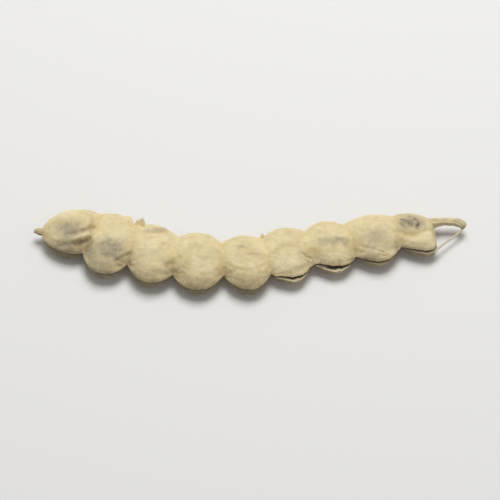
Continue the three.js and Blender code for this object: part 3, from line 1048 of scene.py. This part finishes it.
def flake(name, root, along, up, width, heights):
    """A thin scrap standing on its root: flat upright ellipses side by side along it. Their tops
    follow the heights, given in millimetres from one end of the root to the other and roughened by
    two sines, and they curl over as the square of the height."""
    side_share = np.linspace(-0.98, 0.98, FLAKE_STATIONS)[:, None]
    turn = np.linspace(0, 2 * np.pi, FLAKE_SIDES, endpoint=False)[None, :]
    taper = np.sqrt(1 - side_share ** 6)
    top = np.interp(side_share, np.linspace(-1, 1, len(heights)), heights)
    top = top * taper * (1 + 0.05 * np.sin(17 * side_share) + 0.04 * np.sin(41 * side_share))
    share = (1 + np.sin(turn)) / 2
    lift = top * share
    thick = FLAKE_THICKNESS * np.cos(turn) * taper
    curl = FLAKE_CURL * lift ** 2 + FLAKE_CURL * np.sin(6 * side_share) * share
    out = np.cross(along, up)
    rings = root + (width / 2 * side_share)[..., None] * along
    rings = rings + lift[..., None] * up + (thick + curl)[..., None] * out
    torn_edge = np.clip(1.6 * top / max(heights), 0, 1) * share ** 4
    return add_net(name, rings, {"pale": torn_edge, "tan": 0.6 - 0.4 * torn_edge})


web = flake(
    "torn_web", root=(-27.9, 6.2, 3.4), along=np.array([0.94, -0.34, 0.0]),
    up=np.array([0.20, 0.92, 0.33]), width=3.9, heights=[1.6, 2.1, 2.2, 2.5, 2.9, 2.5, 1.8, 1.1, 0.5],
)
sliver = flake(
    "far_sliver", root=(3.3, 3.1, 3.3), along=np.array([0.97, 0.22, 0.0]),
    up=np.array([-0.20, 0.88, 0.43]), width=1.8, heights=[0.6, 1.3, 1.7, 1.2, 0.8],
)

# %% [markdown]
# ## Felt, husk and bloom
#
# The felt is a coat of very short hairs: it scatters light, so the pod has no gloss and its rims look a
# little brighter than its middle. Real hairs would be far too many, so a sheen on the shader stands for
# them, over a fine bump. The colour is built in coats: cream felt with olive mottling, thick pale felt
# with painted highlights, tan where the husk shows through and partly painted shade in its creases,
# brown stains with painted shade on the flanks and underside, grey bloom with some painted shade, torn
# edges that are partly a painted highlight, and pale hair tips, then specks and the painted shade of the
# slits and cracks.


# %% Short helpers for materials
def node(tree, kind, inputs, **settings):
    """Adds a node, sets it up, and feeds each input a number, a colour or another node's output."""
    made = tree.nodes.new(kind)
    for key, value in settings.items():
        setattr(made, key, value)
    for key, value in inputs.items():
        if isinstance(value, bpy.types.NodeSocket):
            tree.links.new(value, made.inputs[key])
        else:
            made.inputs[key].default_value = value
    return made


def grain(tree, place, size, low, high, detail=3.0):
    """Lumps of a size in millimetres, from 0 below the low level of the noise to 1 above the high."""
    texture = {"Vector": place, "Scale": 1 / (size * MM), "Detail": detail}
    lumps = node(tree, "ShaderNodeTexNoise", texture).outputs["Fac"]
    spread = {"Value": lumps, "From Min": low, "From Max": high}
    return node(tree, "ShaderNodeMapRange", spread).outputs["Result"]


def times(tree, first, second):
    """The product of two numbers, kept between 0 and 1."""
    factors = {0: first, 1: second}
    return node(tree, "ShaderNodeMath", factors, operation="MULTIPLY", use_clamp=True).outputs[0]


def coat(tree, under, colour, amount):
    """A colour laid over another, as thick as amount says."""
    coats = {0: amount, 6: under, 7: (*colour, 1)}
    return node(tree, "ShaderNodeMix", coats, data_type="RGBA").outputs[2]


def mottle(tree, under, colour, place, most, size, low, high, detail=3.0):
    """A colour laid over another in lumps, up to a most."""
    lumps = grain(tree, place, size, low, high, detail)
    return coat(tree, under, colour, times(tree, lumps, most))


def stored(tree, name):
    """One of the numbers stored on the mesh."""
    return node(tree, "ShaderNodeAttribute", {}, attribute_name=name).outputs["Fac"]


def raised(tree, height, depth, below=None):
    """A bump of a depth in millimetres, on top of another bump."""
    inputs = {"Height": height, "Distance": depth * MM, "Strength": 1.0}
    if below is not None:
        inputs["Normal"] = below
    return node(tree, "ShaderNodeBump", inputs).outputs["Normal"]


# %% Colours of the husk, and of painted shade and painted highlight
CREAM = (0.69, 0.565, 0.30)
LIGHT_CREAM = (0.80, 0.69, 0.42)
OLIVE = (0.52, 0.43, 0.22)
# Tan of bare husk, and in creases partly painted shade.
HUSK_TAN = (0.68, 0.50, 0.205)
# Thick pale felt, and painted highlight.
PALE_FELT_AND_HIGHLIGHT = (0.86, 0.75, 0.48)
# Grey bloom, and in a few patches painted shade.
GREY_BLOOM_AND_SHADE = (0.33, 0.287, 0.20)
# Brown stain, and painted shade.
STAIN_AND_SHADE_BROWN = (0.31, 0.235, 0.125)
# Pale torn edges and hair tips, on the lower lips partly a painted highlight.
TORN_EDGE = (0.95, 0.90, 0.75)
# Painted shade in slits, cracks and under the closed seam, and the dark of the seam line and the stalk's
# scar.
SHADE_SEAM_AND_SCAR_DARK = (0.075, 0.055, 0.035)
SPECK_BROWN = (0.25, 0.16, 0.08)
BARK = (0.66, 0.56, 0.34)
LIGHT_BARK = (0.76, 0.67, 0.44)
STRAW = (0.68, 0.62, 0.48)
LIGHT_STRAW = (0.78, 0.73, 0.59)

# The stored numbers that lie over the cream, from below: the grain that breaks each up, as its size
# in millimetres and its levels, then its colour and the most of it.
# The pale felt coat carries painted highlight, and the tan, stain and bloom coats carry painted shade.
COATS = [
    ("light", (1.1, 0.0, 0.6), PALE_FELT_AND_HIGHLIGHT, 0.75),
    ("tan", (0.9, 0.1, 0.6), HUSK_TAN, 0.9),
    ("stain_and_shade", (1.3, -0.1, 0.55), STAIN_AND_SHADE_BROWN, 0.95),
    ("bloom_and_shade", (1.1, -0.2, 0.6), GREY_BLOOM_AND_SHADE, 0.95),
]
FELT_SURFACE = {
    "Roughness": 0.95,
    "Specular IOR Level": 0.15,
    "Sheen Weight": 0.25,
    "Sheen Roughness": 0.6,
    "Sheen Tint": (1.0, 0.95, 0.82, 1),
}
print(f"{len(COATS)} stored coats over the cream")


# %% Felted husk
def felted(name, cream, light_cream, felt_depth):
    """Cream felt with its mottling, stored coats of pale felt, tan, stain and bloom that carry painted
    highlight and painted shade too, pale torn edges, specks, and the painted shade of slits and cracks,
    over a bump of tufts and, felt_depth deep in millimetres, of hairs."""
    material = bpy.data.materials.new(name)
    material.use_nodes = True
    tree = material.node_tree
    place = node(tree, "ShaderNodeTexCoord", {}).outputs["Object"]
    streaked = node(tree, "ShaderNodeMapping", {"Vector": place, "Scale": (0.4, 1, 1)}).outputs["Vector"]

    colour = coat(tree, (*cream, 1), light_cream, grain(tree, place, size=4.5, low=0.35, high=0.7))
    colour = mottle(tree, colour, light_cream, streaked, most=0.6, size=1.2, low=0.45, high=0.75)
    colour = mottle(tree, colour, OLIVE, place, most=0.55, size=1.8, low=0.46, high=0.76)
    for number, levels, finish, most in COATS:
        amount = times(tree, stored(tree, number), grain(tree, place, *levels))
        colour = coat(tree, colour, finish, times(tree, amount, most))
    # Pale torn edges, partly a painted highlight on the lower lips.
    colour = coat(tree, colour, TORN_EDGE, times(tree, stored(tree, "pale"), 0.85))
    colour = mottle(tree, colour, TORN_EDGE, place, most=0.18, size=0.28, low=0.5, high=0.75)
    colour = mottle(tree, colour, SPECK_BROWN, place, most=0.35, size=0.6, low=0.69, high=0.78,
                    detail=1.0)
    # Painted shade in the slits, cracks and under the closed seam, with the seam's dark line and the
    # stalk's dark scar.
    colour = coat(tree, colour, SHADE_SEAM_AND_SCAR_DARK, stored(tree, "dark"))

    tufts = raised(tree, grain(tree, place, size=0.9, low=0.2, high=0.8), 2.5 * felt_depth)
    hairs = raised(tree, grain(tree, place, size=0.22, low=0.2, high=0.8), felt_depth, below=tufts)

    shader = tree.nodes["Principled BSDF"]
    tree.links.new(colour, shader.inputs["Base Color"])
    tree.links.new(hairs, shader.inputs["Normal"])
    for key, value in FELT_SURFACE.items():
        shader.inputs[key].default_value = value
    print(f"{name}: {len(tree.nodes)} nodes")
    return material


pod_felt = felted("cream_felt", CREAM, LIGHT_CREAM, felt_depth=0.045)
stalk_bark = felted("dry_stalk", BARK, LIGHT_BARK, felt_depth=0.02)
fibre_husk = felted("bare_fibre", STRAW, LIGHT_STRAW, felt_depth=0.01)


# %% Dress the pieces
def dress(piece, slot, material, *nodes):
    """Gives a piece its material, rides it on the pod, and hides what it replaces. Its slot is not used.
    """
    piece.data.materials.append(material)
    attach(piece, "root")
    if nodes:
        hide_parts(*nodes)
    print(f"{piece.name}: {material.name}, replaces {list(nodes)}")


dress(pod, "pod_skin", pod_felt, "pod")
dress(stalk, "stalk_bark", stalk_bark, "stalk")
dress(fibre, "seam_fibre", fibre_husk, "seam_fibre")
for scrap in (web, sliver):
    dress(scrap, "pod_skin", pod_felt)

# %% [markdown]
# ## A plain table in soft light
#
# The pod lies on a pale table. One large soft light hangs high behind it, so every chamber is
# bright on its far side and falls into shade towards the near seam, and the pale surroundings fill
# the shadows.

# %% The table
FLOOR_SIZE = 4.0  # metres
FLOOR_WHITE = (0.80, 0.80, 0.79, 1)
FLOOR_ROUGHNESS = 0.9

floor_points = np.array([(-1, -1, 0), (1, -1, 0), (1, 1, 0), (-1, 1, 0)]) * FLOOR_SIZE / 2 / MM
floor = add_mesh("pale_table", floor_points, [(0, 1, 2, 3)])
floor_paint = bpy.data.materials.new("matte_white")
floor_paint.use_nodes = True
floor_shader = floor_paint.node_tree.nodes["Principled BSDF"]
floor_shader.inputs["Base Color"].default_value = FLOOR_WHITE
floor_shader.inputs["Roughness"].default_value = FLOOR_ROUGHNESS
floor.data.materials.append(floor_paint)
floor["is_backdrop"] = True

# %% The lights
ROOM_TINT = (1.0, 0.97, 0.92, 1)
ROOM_STRENGTH = 0.30


def soft_light(name, place, size, power):
    """A square area light, turned to face the pod. Its place and size are in metres, its power in
    watts."""
    data = bpy.data.lights.new(name, "AREA")
    data.size = size
    data.energy = power
    light = bpy.data.objects.new(name, data)
    light.location = place
    light.rotation_euler = (-Vector(place)).to_track_quat("-Z", "Y").to_euler()
    bpy.context.scene.collection.objects.link(light)
    print(f"{name}: {power} W over {size} m")


soft_light("window_light", place=(0.05, 0.38, 0.75), size=0.45, power=5.9)
soft_light("fill_light", place=(0.5, -0.5, 0.6), size=0.8, power=0.4)

world = bpy.data.worlds.new("pale_room")
world.use_nodes = True
room = world.node_tree.nodes["Background"]
room.inputs["Color"].default_value = ROOM_TINT
room.inputs["Strength"].default_value = ROOM_STRENGTH
bpy.context.scene.world = world
bpy.context.scene.view_settings.view_transform = "Standard"

# %% The camera
VIEW_HEIGHT = radians(60)
VIEW_DISTANCE = 0.55  # metres
FRAME_SHARE = 0.87  # of the view's width, which the pod fills

low, high = (Vector(corner) for corner in cad_box)
middle = (low + high) / 2
camera = bpy.data.objects.new("camera", bpy.data.cameras.new("camera"))
toward_camera = Vector((0, -np.cos(VIEW_HEIGHT), np.sin(VIEW_HEIGHT)))
camera.location = middle + VIEW_DISTANCE * toward_camera
camera.rotation_euler = toward_camera.to_track_quat("Z", "Y").to_euler()
camera.data.lens = camera.data.sensor_width * VIEW_DISTANCE * FRAME_SHARE / (high - low).x
camera.data.clip_start = 0.01
bpy.context.scene.collection.objects.link(camera)
bpy.context.scene.camera = camera
print(f"camera: {camera.data.lens:.0f} mm lens")

# %% [markdown]
# ## The two boxes
#
# The skin has moved since the frame was loaded, so the last step sets the imported part's box beside the
# box of what is shown.

# %% Print both boxes
shown_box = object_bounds()
for label, box in (("packed", cad_box), ("shown", shown_box)):
    print(label, [[round(value / MM, 2) for value in corner] for corner in box])
